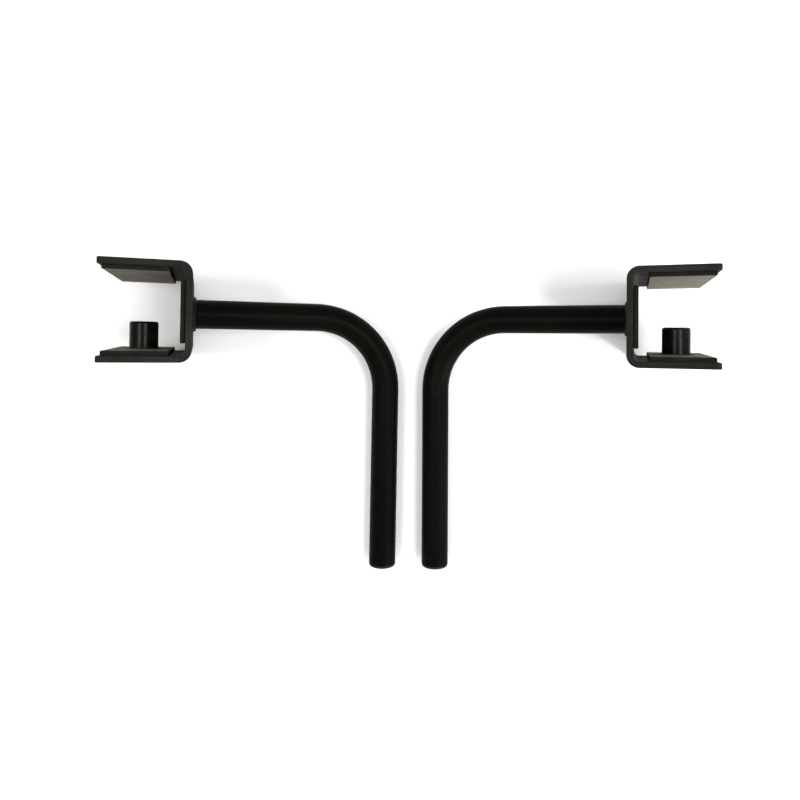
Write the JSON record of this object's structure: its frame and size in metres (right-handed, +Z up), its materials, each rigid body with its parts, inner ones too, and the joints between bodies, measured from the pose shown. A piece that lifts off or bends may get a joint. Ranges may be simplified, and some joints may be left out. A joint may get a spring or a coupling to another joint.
{
  "type": "ladder stabilizer",
  "caption": "Pair of mirrored steel ladder stabilizer arms: padded U brackets with a locating peg, each welded to a round tube bent down to a plugged free end.",
  "frame": {"origin": "on the surface that the pair lies on, at the middle of the pair's length and width", "axes": "+X from the left arm to the right arm, +Y from the tubes' free ends towards the brackets, +Z up"},
  "size_m": [0.7276, 0.3652, 0.216],
  "materials": {
    "powder_coat": "satin black powder coat with a fine texture",
    "peg_coat": "semi-gloss black coat over a turned steel peg",
    "pad_rubber": "matte black rubber, its contact face dusty and lightly mottled",
    "adhesive": "black foam adhesive, seen only as a thin line",
    "plug_plastic": "matte black moulded plastic"
  },
  "bodies": {
    "left_arm": {"left_u_bracket": "powder_coat", "left_arm_tube": "powder_coat", "left_tube_weld_bead": "powder_coat", "left_locating_peg": "peg_coat", "left_peg_weld_bead": "powder_coat", "left_upper_pad": "pad_rubber", "left_upper_pad_adhesive": "adhesive", "left_web_pad": "pad_rubber", "left_web_pad_adhesive": "adhesive", "left_lower_pad": "pad_rubber", "left_lower_pad_adhesive": "adhesive", "left_tube_end_plug": "plug_plastic"},
    "right_arm": {"right_u_bracket": "powder_coat", "right_arm_tube": "powder_coat", "right_tube_weld_bead": "powder_coat", "right_locating_peg": "peg_coat", "right_peg_weld_bead": "powder_coat", "right_upper_pad": "pad_rubber", "right_upper_pad_adhesive": "adhesive", "right_web_pad": "pad_rubber", "right_web_pad_adhesive": "adhesive", "right_lower_pad": "pad_rubber", "right_lower_pad_adhesive": "adhesive", "right_tube_end_plug": "plug_plastic"}
  },
  "joints": [
    {"name": "arm_spacing", "type": "slide", "parent": "left_arm", "child": "right_arm", "axis": [1, 0, 0], "range_m": [0, 0.2]}
  ]
}
